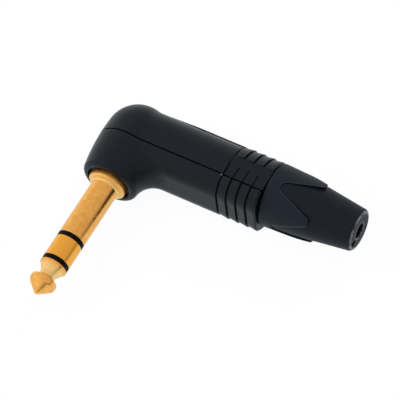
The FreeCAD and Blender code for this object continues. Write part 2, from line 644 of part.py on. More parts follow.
def plug_tip():
    """Tip contact: rounded point, bulb, neck and land, on a rod riveted over its tag."""
    cone = math.radians(TIP_CONE_DEG)
    bulb = FINGER_R - TIP_BULB_SINK
    neck = TIP_NECK_D / 2
    nose_y = TIP_ROUND * (1 - math.sin(cone))
    nose_r = TIP_ROUND * math.cos(cone)
    bulb_from = nose_y + (bulb - nose_r) / math.tan(cone)
    neck_from = TIP_NECK_AT - TIP_NECK_LENGTH / 2
    neck_to = TIP_NECK_AT + TIP_NECK_LENGTH / 2
    half = TIP_ROUND * (1 - math.sin((cone + math.pi / 2) / 2))
    half_r = TIP_ROUND * math.cos((cone + math.pi / 2) / 2)
    rivet = ROD_R + RIVET_RIM

    def at(back, radius):
        return Vector(radius, back - FINGER_LENGTH, 0)

    tag_back = FINGER_LENGTH + TIP_TAG_TOP
    corners = [
        (nose_y, nose_r), (bulb_from, bulb), (TIP_BULB_BACK, bulb), (neck_from, neck), (neck_to, neck),
        (TIP_LENGTH - TIP_LAND, FINGER_R - TIP_STEP), (TIP_LENGTH - TIP_LAND, FINGER_R),
        (TIP_LENGTH - CONTACT_EDGE, FINGER_R),
        (TIP_LENGTH, FINGER_R - CONTACT_EDGE), (TIP_LENGTH, ROD_R), (tag_back, ROD_R),
        (tag_back, rivet), (tag_back + RIVET_HIGH, ROD_R), (tag_back + RIVET_HIGH, 0), (0, 0),
    ]
    edges = [line(at(*a), at(*b)) for a, b in zip(corners, corners[1:])]
    edges.append(arc(at(0, 0), at(half, half_r), at(nose_y, nose_r)))
    tip = profile_face(edges).revolve(Vector(0, 0, 0), Vector(0, 1, 0), 360)

    def circles(radius, places):
        found = []
        for edge in tip.Edges:
            box = edge.BoundBox
            back = box.Center.y + FINGER_LENGTH
            flat = box.YLength < TOUCH and abs(box.ZLength - 2 * radius) < TOUCH
            if flat and any(abs(back - place) < TOUCH for place in places):
                found.append(edge)
        return found

    tip = tip.makeFillet(TIP_BULB_ROUND, circles(bulb, [bulb_from]))
    tip = tip.makeFillet(TIP_BULB_BACK_ROUND, circles(bulb, [TIP_BULB_BACK]))
    return tip.makeFillet(TIP_NECK_ROUND, circles(neck, [neck_from, neck_to]))


def solder_tag(side, hole, y):
    """A flat soldering tag: a disc round the finger, and a tongue along the body with an eye."""
    round_at = TAG_END - TAG_WIDTH / 2
    z = side * TAG_OFFSET
    level = (y, y + TAG_THICK)
    tongue = block((0, round_at), level, (z - TAG_WIDTH / 2, z + TAG_WIDTH / 2))
    end = Part.makeCylinder(TAG_WIDTH / 2, TAG_THICK, Vector(round_at, y, z), Vector(0, 1, 0))
    eye = Part.makeCylinder(TAG_EYE_D / 2, TAG_THICK, Vector(round_at, y, z), Vector(0, 1, 0))
    tag = finger_rod(RING_TUBE_R + TAG_RIM, *level).fuse(tongue).fuse(end)
    return tag.cut(eye).cut(finger_rod(hole, *level)).removeSplitter()


def ground_tag():
    """Earth strip: a washer under the nut, a strip along the body and a clamp for the cable."""
    half = GROUND_WIDTH / 2
    top = TRAY_Y + TAG_THICK
    run_end = GROUND_END + CLAMP_LENGTH
    foot = block((0, GROUND_RISE_X), (FLOOR_TOP, LOCK_Y), (-half, half))
    rise = block((GROUND_RISE_X, GROUND_RISE_X + TAG_THICK), (FLOOR_TOP, top), (-half, half))
    run = block((GROUND_RISE_X, run_end), (TRAY_Y, top), (-half, half))
    floor = block((GROUND_END, run_end), (TRAY_Y, top), (-CLAMP_HALF, CLAMP_HALF))
    strip = finger_rod(BARREL_R + GROUND_RIM, FLOOR_TOP, LOCK_Y).fuse(foot)
    strip = strip.cut(finger_rod(BARREL_HOLE_R, FLOOR_TOP, LOCK_Y)).fuse(rise).fuse(run).fuse(floor)
    for side in (-1, 1):
        ear = sorted((side * CLAMP_HALF, side * (CLAMP_HALF - TAG_THICK)))
        strip = strip.fuse(block((GROUND_END, run_end), (TRAY_Y, TRAY_Y + CLAMP_HIGH), ear))
    return strip.removeSplitter()


def lock_washer():
    """Toothed washer between the earth strip and the nut."""
    outer = BARREL_R + LOCK_RIM
    half = LOCK_TOOTH / 2
    ring = finger_tube(outer, BARREL_HOLE_R, LOCK_Y, NUT_Y)
    for number in range(LOCK_TEETH):
        notch = block((outer - LOCK_TOOTH, BEYOND), (LOCK_Y, NUT_Y), (-half, half))
        notch.rotate(Vector(0, 0, 0), Vector(0, 1, 0), number * 360 / LOCK_TEETH)
        ring = ring.cut(notch)
    return ring


def finger_nut():
    """Hexagon nut that clamps the finger to the shell's floor, one flat towards the cable."""
    flat = BARREL_R + NUT_RIM
    corner = flat / math.cos(math.pi / 6)
    points = []
    for number in range(6):
        angle = (number + 0.5) * math.pi / 3
        points.append(Vector(corner * math.cos(angle), NUT_Y, corner * math.sin(angle)))
    nut = Part.Face(Part.makePolygon(points + points[:1])).extrude(Vector(0, NUT_THICK, 0))
    rise = (corner - flat) * math.tan(math.radians(NUT_BEVEL_DEG))
    bevel = [(0, 0), (0, corner), (NUT_THICK - rise, corner), (NUT_THICK, flat), (NUT_THICK, 0)]
    cone = turned(bevel, Vector(0, NUT_Y, 0), Vector(0, 1, 0), Vector(1, 0, 0))
    return nut.common(cone).cut(finger_rod(BARREL_R, NUT_Y, NUT_Y + NUT_THICK))


def contact_carrier():
    """Insulating plate on the body's floor: it holds the tags apart and guides the earth strip."""
    half = CAVITY_HALF - INSERT_ROOM
    room = prism(INSERT_START, INSERT_END, half, half, CAVITY_FOOT, CAVITY_CORNER - INSERT_ROOM)
    channel = GROUND_WIDTH / 2 + INSERT_ROOM
    rib_top = RING_TAG_Y + INSERT_RIB_HIGH
    plate = block((INSERT_START, INSERT_END), (TRAY_Y, RING_TAG_Y), (-INSERT_HALF, INSERT_HALF)).common(room)
    plate = plate.cut(block((0, BEYOND), (TRAY_Y, TRAY_Y + TAG_THICK), (-channel, channel)))
    for side in (-1, 1):
        wall = sorted((side * channel, side * (channel + INSERT_RIB)))
        plate = plate.fuse(block((INSERT_START, INSERT_END), (TRAY_Y, rib_top), wall))
    return plate.removeSplitter()


def parts():
    blank = housing_blank()
    groove = seam_groove()
    collar = boot_collar()
    return {
        "lower_shell": lower_shell(blank, groove),
        "top_cover": top_cover(blank, groove),
        "plug_sleeve": plug_sleeve(),
        "ring_insulator": ring_insulator(),
        "plug_ring": plug_ring(),
        "tip_insulator": tip_insulator(),
        "plug_tip": plug_tip(),
        "ground_tag": ground_tag(),
        "lock_washer": lock_washer(),
        "finger_nut": finger_nut(),
        "back_insulator": finger_tube(BARREL_R + WASHER_RIM, RING_TUBE_R, SLEEVE_BACK, RING_TAG_Y),
        "ring_tag": solder_tag(1, RING_TUBE_R, RING_TAG_Y),
        "tag_insulator": finger_tube(RING_TUBE_R + TAG_WASHER_RIM, ROD_R, RING_TAG_TOP, TIP_TAG_Y),
        "tip_tag": solder_tag(-1, ROD_R, TIP_TAG_Y),
        "contact_carrier": contact_carrier(),
        "cable_chuck": cable_chuck(),
        "boot_collar": collar,
        "boot_sleeve": boot_sleeve(collar),
    }


os.makedirs("parts", exist_ok=True)
for node, shape in parts().items():
    print(node, "valid", shape.isValid(), "solids", len(shape.Solids), "volume", round(shape.Volume, 2))
    shape.Solids[0].exportStep("parts/" + node + ".step")
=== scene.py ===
import math

import bpy
from mathutils import Matrix, Vector


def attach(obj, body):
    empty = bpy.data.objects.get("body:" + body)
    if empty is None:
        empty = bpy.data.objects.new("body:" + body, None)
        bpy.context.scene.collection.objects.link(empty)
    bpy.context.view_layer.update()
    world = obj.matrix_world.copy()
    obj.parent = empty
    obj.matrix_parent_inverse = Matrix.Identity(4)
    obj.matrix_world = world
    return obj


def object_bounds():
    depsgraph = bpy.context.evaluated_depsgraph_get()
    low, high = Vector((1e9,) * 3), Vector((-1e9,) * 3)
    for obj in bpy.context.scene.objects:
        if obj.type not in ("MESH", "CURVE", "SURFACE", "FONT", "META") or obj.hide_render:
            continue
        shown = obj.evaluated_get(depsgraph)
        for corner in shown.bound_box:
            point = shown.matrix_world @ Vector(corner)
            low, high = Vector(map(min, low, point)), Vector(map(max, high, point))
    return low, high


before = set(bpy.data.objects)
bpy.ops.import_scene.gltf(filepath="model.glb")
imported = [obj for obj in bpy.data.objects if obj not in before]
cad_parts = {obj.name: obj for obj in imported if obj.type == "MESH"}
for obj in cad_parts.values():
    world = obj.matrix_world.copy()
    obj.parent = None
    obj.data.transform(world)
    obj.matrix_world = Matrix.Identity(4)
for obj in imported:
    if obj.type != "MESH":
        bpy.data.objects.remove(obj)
cad_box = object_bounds()
for item in bpy.context.selected_objects:
    item.select_set(False)


# Shell and lift-off cover: two zinc die castings in a satin black coat of fine grain, with softly
# rounded edges. A chip at the end of their joint shows bare zinc. The joint is painted near black,
# a painted shade, broader from the grip on, and so are the walls of the low pad on the cover's
# back.

MM = 0.001
COAT_GRAIN = 4.2         # grains to the millimetre, coarser than the real ones so that they show
COAT_CLOUDS = 0.22       # clouds of tone to the millimetre
COAT_EDGE = 0.18         # radius of the soft edges, in millimetres, as are all sizes here
SEAM_Y = 11.12           # middle of the joint between shell and cover
SEAM_HALF = 0.145        # half its gap, with a little over
GRIP_X = 24.02           # where the grip's rings begin, from where on the painted shade in the joint is broader
GRIP_SEAM_HALF = 0.21    # half its width there, which it reaches over the next length
GRIP_FADE = 0.3
PAD_WALL_Z = 3.4         # the pad's two long walls, and how far from them the painted shade reaches
PAD_WALL_REACH = 0.04
PAD_MIDDLE_X = 14.5
PAD_HALF_LENGTH = 9.5
PAD_FOOT_Y = 20.0        # the pad's walls lie wholly past this
CHIP_MIDDLE = (24.08, 11.02, 7.08)
CHIP_RAGGED = 0.3        # how far the grain eats into the chip's outline
CHIP_OUTSIDE = 0.46      # past this distance all is coat, and nearer than the next all is zinc
CHIP_INSIDE = 0.38


def colour(hex_value):
    """A linear colour from an sRGB hex value."""
    levels = [int(hex_value[i:i + 2], 16) / 255 for i in (1, 3, 5)]
    linear = [v / 12.92 if v <= 0.04045 else ((v + 0.055) / 1.055) ** 2.4 for v in levels]
    return (*linear, 1.0)


def node(material, kind, inputs=None, **settings):
    """Adds a node with its settings. An input takes a value, or (node, output) for a link."""
    tree = material.node_tree
    added = tree.nodes.new(kind)
    for name, value in settings.items():
        setattr(added, name, value)
    for name, value in (inputs or {}).items():
        if isinstance(value, tuple) and isinstance(value[0], bpy.types.Node):
            source, output = value
            tree.links.new(source.outputs[output], added.inputs[name])
        else:
            added.inputs[name].default_value = value
    return added


def new_material(name):
    """An empty material, and its coordinates in millimetres of the part's own frame."""
    material = bpy.data.materials.new(name)
    material.use_nodes = True
    material.node_tree.nodes.clear()
    place = node(material, "ShaderNodeTexCoord")
    millimetres = node(material, "ShaderNodeVectorMath", {0: (place, "Object"), "Scale": 1 / MM},
                       operation="SCALE")
    return material, millimetres


def finish_material(material, shader):
    """Links the last shader to the material's output."""
    node(material, "ShaderNodeOutputMaterial", {"Surface": (shader, 0)})


def dress(names, material):
    """Gives the CAD pieces their material, in the slot that they come with."""
    for name in names:
        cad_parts[name].material_slots[0].material = material


coat, mm = new_material("satin_black_coat_on_zinc")
grain = node(coat, "ShaderNodeTexNoise", {
    "Vector": (mm, 0), "Scale": COAT_GRAIN, "Detail": 4.0, "Roughness": 0.6})
clouds = node(coat, "ShaderNodeTexNoise", {"Vector": (mm, 0), "Scale": COAT_CLOUDS, "Detail": 3.0})
coat_tone = node(coat, "ShaderNodeMix", {
    "Factor": (clouds, 0), "A": colour("#0a1015"), "B": colour("#0f151b")}, data_type="RGBA")
gloss = node(coat, "ShaderNodeMapRange", {
    "Value": (grain, 0), "From Min": 0.3, "From Max": 0.7, "To Min": 0.3, "To Max": 0.4})
coat_edge = node(coat, "ShaderNodeBevel", {"Radius": COAT_EDGE * MM}, samples=6)
coat_bump = node(coat, "ShaderNodeBump", {
    "Height": (grain, 0), "Normal": (coat_edge, 0), "Strength": 0.12, "Distance": 0.04 * MM})
satin_black = node(coat, "ShaderNodeBsdfPrincipled", {
    "Base Color": (coat_tone, 2), "Roughness": (gloss, 0), "Normal": (coat_bump, 0),
    "Specular IOR Level": 0.165})

bare_zinc = node(coat, "ShaderNodeBsdfPrincipled", {
    "Base Color": colour("#f6fafc"), "Metallic": 1.0, "Roughness": 0.35, "Normal": (coat_bump, 0)})
from_chip = node(coat, "ShaderNodeVectorMath", {0: (mm, 0), 1: CHIP_MIDDLE}, operation="DISTANCE")
ragged = node(coat, "ShaderNodeMath", {0: (grain, 0), 1: CHIP_RAGGED, 2: (from_chip, "Value")},
              operation="MULTIPLY_ADD")
bare = node(coat, "ShaderNodeMapRange", {
    "Value": (ragged, 0), "From Min": CHIP_OUTSIDE, "From Max": CHIP_INSIDE})
chipped_coat = node(coat, "ShaderNodeMixShader", {
    0: (bare, 0), 1: (satin_black, 0), 2: (bare_zinc, 0)})

coat_spot = node(coat, "ShaderNodeSeparateXYZ", {0: (mm, 0)})
above_seam = node(coat, "ShaderNodeMath", {0: (coat_spot, "Y"), 1: SEAM_Y}, operation="SUBTRACT")
beside_seam = node(coat, "ShaderNodeMath", {0: (above_seam, 0)}, operation="ABSOLUTE")
seam_half = node(coat, "ShaderNodeMapRange", {
    "Value": (coat_spot, "X"), "From Min": GRIP_X, "From Max": GRIP_X + GRIP_FADE,
    "To Min": SEAM_HALF, "To Max": GRIP_SEAM_HALF})
in_seam = node(coat, "ShaderNodeMath", {0: (beside_seam, 0), 1: (seam_half, 0)},
               operation="LESS_THAN")
off_plane = node(coat, "ShaderNodeMath", {0: (coat_spot, "Z")}, operation="ABSOLUTE")
at_wall = node(coat, "ShaderNodeMath", {0: (off_plane, 0), 1: PAD_WALL_Z, 2: PAD_WALL_REACH},
               operation="COMPARE")
along_pad = node(coat, "ShaderNodeMath", {
    0: (coat_spot, "X"), 1: PAD_MIDDLE_X, 2: PAD_HALF_LENGTH}, operation="COMPARE")
on_back = node(coat, "ShaderNodeMath", {0: (coat_spot, "Y"), 1: PAD_FOOT_Y},
               operation="GREATER_THAN")
at_pad = node(coat, "ShaderNodeMath", {0: (along_pad, 0), 1: (on_back, 0)}, operation="MULTIPLY")
on_wall = node(coat, "ShaderNodeMath", {0: (at_wall, 0), 1: (at_pad, 0)}, operation="MULTIPLY")
# Painted shade: the joint's gap and the pad's walls are coloured near black.
painted_shade_mask = node(coat, "ShaderNodeMath", {0: (in_seam, 0), 1: (on_wall, 0)}, operation="MAXIMUM")
painted_shade = node(coat, "ShaderNodeBsdfDiffuse", {"Color": colour("#020202")})
used_coat = node(coat, "ShaderNodeMixShader", {0: (painted_shade_mask, 0), 1: (chipped_coat, 0), 2: (painted_shade, 0)})
finish_material(coat, used_coat)
dress(["lower_shell", "top_cover"], coat)


# Contacts: brass turned on a lathe, polished and plated with hard gold, a deep yellow mirror, a
# little softened, with fine rings left by the tool. The ring contact is deeper in tone. The
# flange's face and the tip's neck are rougher, and painted paler as a painted highlight.

TOOL_RINGS = 9.0         # rings to the millimetre, coarser than the real ones so that they show
GOLD_HAZE = 0.9          # clouds of haze to the millimetre
FACE_Y = 0.35            # middle of the zone of boss and flange face, and half its width
FACE_REACH = 0.42
FLANGE_Y = 0.6           # from here on towards the shell, over the next length, all is duller
FLANGE_FADE = 0.08
RING_Y = -18.4           # middle of the ring contact, and half its length
RING_REACH = 2.9
TIP_NECK_Y = -24.5       # middle of the tip's neck and shoulder, and half their length
TIP_NECK_REACH = 1.9
DULLER = 0.2             # how much rougher the face and the neck are, and the neck's share of that and of the painted highlight
NECK_SHARE = 0.65

gold, mm = new_material("turned_brass_hard_gold_plate")
gold_spot = node(gold, "ShaderNodeSeparateXYZ", {0: (mm, 0)})
across = node(gold, "ShaderNodeCombineXYZ", {"X": (gold_spot, "X"), "Y": (gold_spot, "Z")})
radius = node(gold, "ShaderNodeVectorMath", {0: (across, 0)}, operation="LENGTH")
lathe = node(gold, "ShaderNodeCombineXYZ", {"X": (radius, "Value"), "Y": (gold_spot, "Y")})
rings = node(gold, "ShaderNodeTexNoise", {"Vector": (lathe, 0), "Scale": TOOL_RINGS, "Detail": 3.0})
ring_bump = node(gold, "ShaderNodeBump", {
    "Height": (rings, 0), "Strength": 0.1, "Distance": 0.03 * MM})
haze = node(gold, "ShaderNodeTexNoise", {
    "Vector": (mm, 0), "Scale": GOLD_HAZE, "Detail": 5.0, "Roughness": 0.7})

at_face = node(gold, "ShaderNodeMath", {0: (gold_spot, "Y"), 1: FACE_Y, 2: FACE_REACH},
               operation="COMPARE")
from_neck = node(gold, "ShaderNodeMath", {0: (gold_spot, "Y"), 1: TIP_NECK_Y},
                 operation="SUBTRACT")
off_neck = node(gold, "ShaderNodeMath", {0: (from_neck, 0)}, operation="ABSOLUTE")
at_neck = node(gold, "ShaderNodeMapRange", {
    "Value": (off_neck, 0), "From Min": TIP_NECK_REACH, "From Max": TIP_NECK_REACH / 2,
    "To Min": 0.0, "To Max": NECK_SHARE}, interpolation_type="SMOOTHSTEP")
highlight_and_rough_zone = node(gold, "ShaderNodeMath", {0: (at_face, 0), 1: (at_neck, 0)}, operation="MAXIMUM")

haze_tone = node(gold, "ShaderNodeMapRange", {
    "Value": (haze, 0), "From Min": 0.35, "From Max": 0.65})
plate = node(gold, "ShaderNodeMix", {
    "Factor": (haze_tone, 0), "A": colour("#f0a84c"), "B": colour("#ffbd68")}, data_type="RGBA")
on_ring = node(gold, "ShaderNodeMath", {0: (gold_spot, "Y"), 1: RING_Y, 2: RING_REACH},
               operation="COMPARE")
ring_plate = node(gold, "ShaderNodeMix", {
    "Factor": (on_ring, 0), "A": (plate, 2), "B": colour("#fcb046")}, data_type="RGBA")
# Painted highlight: the flange's face and the tip's neck are coloured a paler cream gold.
gold_tone = node(gold, "ShaderNodeMix", {
    "Factor": (highlight_and_rough_zone, 0), "A": (ring_plate, 2), "B": colour("#ffdc94")}, data_type="RGBA")

polish = node(gold, "ShaderNodeMapRange", {
    "Value": (haze, 0), "From Min": 0.3, "From Max": 0.7, "To Min": 0.16, "To Max": 0.28})
flange_dull = node(gold, "ShaderNodeMapRange", {
    "Value": (gold_spot, "Y"), "From Min": FLANGE_Y, "From Max": FLANGE_Y + FLANGE_FADE,
    "To Min": 0.0, "To Max": DULLER})
turned_finish = node(gold, "ShaderNodeMath", {0: (polish, 0), 1: (flange_dull, 0)},
                     operation="ADD")
gold_finish = node(gold, "ShaderNodeMath", {
    0: (highlight_and_rough_zone, 0), 1: DULLER, 2: (turned_finish, 0)}, operation="MULTIPLY_ADD")
gold_shader = node(gold, "ShaderNodeBsdfPrincipled", {
    "Base Color": (gold_tone, 2), "Roughness": (gold_finish, 0), "Normal": (ring_bump, 0),
    "Metallic": 1.0})
finish_material(gold, gold_shader)
dress(["plug_sleeve", "plug_ring", "plug_tip"], gold)


# Insulating rings: the collars of two bushes of black polyamide, moulded, pushed on and turned
# flush with the contacts. The cut face is matt and a little warmer than a moulded one.

BUSH_GRAIN = 6.0         # grains to the millimetre

bush, mm = new_material("black_polyamide_turned")
bush_grain = node(bush, "ShaderNodeTexNoise", {
    "Vector": (mm, 0), "Scale": BUSH_GRAIN, "Detail": 2.0})
bush_bump = node(bush, "ShaderNodeBump", {
    "Height": (bush_grain, 0), "Strength": 0.1, "Distance": 0.03 * MM})
bush_shader = node(bush, "ShaderNodeBsdfPrincipled", {
    "Base Color": colour("#0a0806"), "Roughness": 0.5, "Normal": (bush_bump, 0),
    "Specular IOR Level": 0.06})
finish_material(bush, bush_shader)
dress(["ring_insulator", "tip_insulator"], bush)


# Collar and petals of the boot: glass-filled polyamide in blue-black, moulded in a spark-eroded
# tool, so it is matt, even and a little colder than the shell. Its edges are painted pale as a
# painted highlight, most of all those that face down.

SPARK_GRAIN = 5.0        # pits to the millimetre
COLLAR_EDGE = 0.22       # radius of the soft edges, in millimetres

moulded, mm = new_material("blue_black_glass_filled_polyamide")
spark = node(moulded, "ShaderNodeTexNoise", {
    "Vector": (mm, 0), "Scale": SPARK_GRAIN, "Detail": 3.0, "Roughness": 0.65})
collar_edge = node(moulded, "ShaderNodeBevel", {"Radius": COLLAR_EDGE * MM}, samples=6)
spark_bump = node(moulded, "ShaderNodeBump", {
    "Height": (spark, 0), "Normal": (collar_edge, 0), "Strength": 0.16, "Distance": 0.05 * MM})
facing = node(moulded, "ShaderNodeNewGeometry")
flatness = node(moulded, "ShaderNodeVectorMath", {0: (collar_edge, 0), 1: (facing, "Normal")},
                operation="DOT_PRODUCT")
# Painted highlight: the edges are coloured pale, most where they face down towards the lit table.
at_edge = node(moulded, "ShaderNodeMapRange", {
    "Value": (flatness, "Value"), "From Min": 0.98, "From Max": 0.8})
facing_parts = node(moulded, "ShaderNodeSeparateXYZ", {0: (collar_edge, 0)})
facing_down = node(moulded, "ShaderNodeMapRange", {
    "Value": (facing_parts, "Z"), "From Min": 0.3, "From Max": -0.3, "To Min": 0.35, "To Max": 1.0})
painted_edge_highlight = node(moulded, "ShaderNodeMath", {0: (at_edge, 0), 1: (facing_down, 0)},
                 operation="MULTIPLY")
collar_tone = node(moulded, "ShaderNodeMix", {
    "Factor": (painted_edge_highlight, 0), "A": colour("#111a22"), "B": colour("#79828c")}, data_type="RGBA")
moulded_shader = node(moulded, "ShaderNodeBsdfPrincipled", {
    "Base Color": (collar_tone, 2), "Roughness": 0.5, "Normal": (spark_bump, 0),
    "Specular IOR Level": 0.15})
finish_material(moulded, moulded_shader)
dress(["boot_collar"], moulded)


# Strain relief: thermoplastic rubber moulded over the boot's core. It is soft, dull and nearly
# black. Its two rims, round the end's face and round the hole, are painted pale in patches as a
# painted highlight.

CABLE_AXIS_Y = 15.2      # the axis of boot and cable, in millimetres
SKIN_GRAIN = 3.6         # grains to the millimetre
RIM_HIGHLIGHT_PATCHES = 0.55     # patches to the millimetre
RUBBER_EDGE = 0.22       # radius of the soft edges
RIM_MIDDLE = 3.05        # radius half way between the hole's rim and the face's
RIM_HALF = 1.05          # from there to either rim
RIM_FADE = 0.22          # over which width the painted highlight grows towards each rim
END_X = 55.2             # just behind the end's face, and over which length they fade from there
END_FADE = 0.25

rubber, mm = new_material("black_thermoplastic_rubber")
skin = node(rubber, "ShaderNodeTexNoise", {
    "Vector": (mm, 0), "Scale": SKIN_GRAIN, "Detail": 4.0, "Roughness": 0.6})
rubber_edge = node(rubber, "ShaderNodeBevel", {"Radius": RUBBER_EDGE * MM}, samples=6)
skin_bump = node(rubber, "ShaderNodeBump", {
    "Height": (skin, 0), "Normal": (rubber_edge, 0), "Strength": 0.14, "Distance": 0.05 * MM})
rubber_spot = node(rubber, "ShaderNodeSeparateXYZ", {0: (mm, 0)})
sideways = node(rubber, "ShaderNodeMath", {0: (rubber_spot, "Y"), 1: CABLE_AXIS_Y},
                operation="SUBTRACT")
off_axis = node(rubber, "ShaderNodeCombineXYZ", {"X": (sideways, 0), "Y": (rubber_spot, "Z")})
from_axis = node(rubber, "ShaderNodeVectorMath", {0: (off_axis, 0)}, operation="LENGTH")
from_middle = node(rubber, "ShaderNodeMath", {0: (from_axis, "Value"), 1: RIM_MIDDLE},
                   operation="SUBTRACT")
off_middle = node(rubber, "ShaderNodeMath", {0: (from_middle, 0)}, operation="ABSOLUTE")
on_rim = node(rubber, "ShaderNodeMapRange", {
    "Value": (off_middle, 0), "From Min": RIM_HALF - RIM_FADE, "From Max": RIM_HALF},
    interpolation_type="SMOOTHSTEP")
on_end = node(rubber, "ShaderNodeMapRange", {
    "Value": (rubber_spot, "X"), "From Min": END_X - END_FADE, "From Max": END_X},
    interpolation_type="SMOOTHSTEP")
end_rim = node(rubber, "ShaderNodeMath", {0: (on_rim, 0), 1: (on_end, 0)}, operation="MULTIPLY")
patchy = node(rubber, "ShaderNodeTexNoise", {
    "Vector": (mm, 0), "Scale": RIM_HIGHLIGHT_PATCHES, "Detail": 3.0})
highlight_patches = node(rubber, "ShaderNodeMapRange", {
    "Value": (patchy, 0), "From Min": 0.3, "From Max": 0.55})
# Painted highlight: the two rims at the end are coloured pale in patches.
painted_rim_highlight = node(rubber, "ShaderNodeMath", {0: (end_rim, 0), 1: (highlight_patches, 0)},
               operation="MULTIPLY", use_clamp=True)
rubber_tone = node(rubber, "ShaderNodeMix", {
    "Factor": (painted_rim_highlight, 0), "A": colour("#0f151b"), "B": colour("#74787c")}, data_type="RGBA")
rubber_shader = node(rubber, "ShaderNodeBsdfPrincipled", {
    "Base Color": (rubber_tone, 2), "Roughness": 0.5, "Normal": (skin_bump, 0),
    "Specular IOR Level": 0.14})
finish_material(rubber, rubber_shader)
dress(["boot_sleeve"], rubber)


# Chuck: black acetal, a slippery plastic, moulded. Its low satin gloss is clouded by the flow of
# the melt. It shows when the boot is off.

FLOW_MARKS = 0.7         # flow marks to the millimetre

acetal, mm = new_material("black_acetal")
flow = node(acetal, "ShaderNodeTexNoise", {
    "Vector": (mm, 0), "Scale": FLOW_MARKS, "Detail": 3.0, "Distortion": 0.8})
flow_tone = node(acetal, "ShaderNodeMix", {
    "Factor": (flow, 0), "A": colour("#0d0e10"), "B": colour("#121315")}, data_type="RGBA")
satin = node(acetal, "ShaderNodeMapRange", {"Value": (flow, 0), "To Min": 0.3, "To Max": 0.46})
acetal_shader = node(acetal, "ShaderNodeBsdfPrincipled", {
    "Base Color": (flow_tone, 2), "Roughness": (satin, 0)})
finish_material(acetal, acetal_shader)
dress(["cable_chuck"], acetal)


# Nut and toothed washer inside the head: steel with bright nickel, a little scratched by the tool
# that tightened them against the shell's wall.

SCRATCHES = 7.0          # to the millimetre

nickel, mm = new_material("nickel_plated_steel")
scratch = node(nickel, "ShaderNodeTexNoise", {
    "Vector": (mm, 0), "Scale": SCRATCHES, "Detail": 5.0, "Distortion": 0.6})
worn = node(nickel, "ShaderNodeMapRange", {"Value": (scratch, 0), "To Min": 0.18, "To Max": 0.42})
nickel_shader = node(nickel, "ShaderNodeBsdfPrincipled", {
    "Base Color": colour("#cbc8c0"), "Metallic": 1.0, "Roughness": (worn, 0)})
finish_material(nickel, nickel_shader)
dress(["finger_nut", "lock_washer"], nickel)


# Soldering tags and earth strip: brass sheet, stamped, bent and dipped in tin, with the dull
# clouds that tin dries to.

TIN_CLOUDS = 1.1         # to the millimetre

tinned, mm = new_material("tinned_brass_sheet")
dull = node(tinned, "ShaderNodeTexNoise", {"Vector": (mm, 0), "Scale": TIN_CLOUDS, "Detail": 4.0})
tin_tone = node(tinned, "ShaderNodeMix", {
    "Factor": (dull, 0), "A": colour("#b9b7ae"), "B": colour("#dad7cc")}, data_type="RGBA")
tin_finish = node(tinned, "ShaderNodeMapRange", {"Value": (dull, 0), "To Min": 0.5, "To Max": 0.28})
tinned_shader = node(tinned, "ShaderNodeBsdfPrincipled", {
    "Base Color": (tin_tone, 2), "Metallic": 1.0, "Roughness": (tin_finish, 0)})
finish_material(tinned, tinned_shader)
dress(["ground_tag", "ring_tag", "tip_tag"], tinned)


# Insulating washers and carrier: natural polyamide, moulded, milky and faintly translucent. They
# are stacked between the tags and clamped with them.

MILK_CLOUDS = 0.8        # to the millimetre
LIGHT_REACH = (0.6 * MM, 0.5 * MM, 0.4 * MM)     # how far red, green and blue light go in

natural, mm = new_material("natural_polyamide")
milk = node(natural, "ShaderNodeTexNoise", {"Vector": (mm, 0), "Scale": MILK_CLOUDS, "Detail": 2.0})
milk_tone = node(natural, "ShaderNodeMix", {
    "Factor": (milk, 0), "A": colour("#ded9cb"), "B": colour("#ebe7dc")}, data_type="RGBA")
natural_shader = node(natural, "ShaderNodeBsdfPrincipled", {
    "Base Color": (milk_tone, 2), "Roughness": 0.45, "Subsurface Weight": 0.15,
    "Subsurface Radius": LIGHT_REACH, "Subsurface Scale": 1.0})
finish_material(natural, natural_shader)
dress(["back_insulator", "tag_insulator", "contact_carrier"], natural)


# Thread on the shell's neck, which the boot screws on: right-handed and coarse, cast with the
# shell and coated with it. Its ends run out into the neck. It shows when the boot is unscrewed.

PITCH = 1.25 * MM
THREAD_TURNS = 3
THREAD_STEPS = 216       # 72 to the turn
THREAD_FROM = 36.35 * MM     # where the middle of its profile begins and ends
THREAD_TO = THREAD_FROM + THREAD_TURNS * PITCH
THREAD_ROOT = 4.9 * MM
THREAD_CREST = 5.48 * MM
THREAD_MIDDLE = (THREAD_CREST + THREAD_ROOT) / 2
ROOT_WIDTH = 0.8 * MM
CREST_SHARE = 0.3        # of the root's width
RUN_OUT = 0.6 * MM       # how far its ends sink into the neck
PROFILE_CORNERS = 4
SMOOTH_BELOW = math.radians(40)
TOUCH = 0.001 * MM       # points closer than this are one

bpy.ops.mesh.primitive_plane_add(size=1, location=(0, CABLE_AXIS_Y * MM, 0),
                                 rotation=(math.pi / 2, 0, 0))
thread = bpy.context.object
thread.name = "neck_thread"
bpy.ops.object.transform_apply(location=False, rotation=True, scale=False)
bpy.ops.object.mode_set(mode="EDIT")
bpy.ops.transform.resize(value=(ROOT_WIDTH, 1, THREAD_CREST - THREAD_ROOT))
bpy.ops.transform.translate(value=(THREAD_FROM, 0, THREAD_MIDDLE))
bpy.ops.object.mode_set(mode="OBJECT")
for point in thread.data.vertices:
    point.select = point.co.z > THREAD_MIDDLE
bpy.ops.object.mode_set(mode="EDIT")
bpy.ops.transform.resize(value=(CREST_SHARE, 1, 1))
bpy.ops.mesh.select_all(action="SELECT")
bpy.ops.mesh.delete(type="ONLY_FACE")
bpy.ops.object.mode_set(mode="OBJECT")
sweep = thread.modifiers.new("sweep", "SCREW")
sweep.axis = "X"
sweep.angle = THREAD_TURNS * math.tau
sweep.screw_offset = THREAD_TURNS * PITCH
sweep.steps = THREAD_STEPS
sweep.render_steps = THREAD_STEPS
sweep.use_smooth_shade = False
bpy.ops.object.modifier_apply(modifier="sweep")
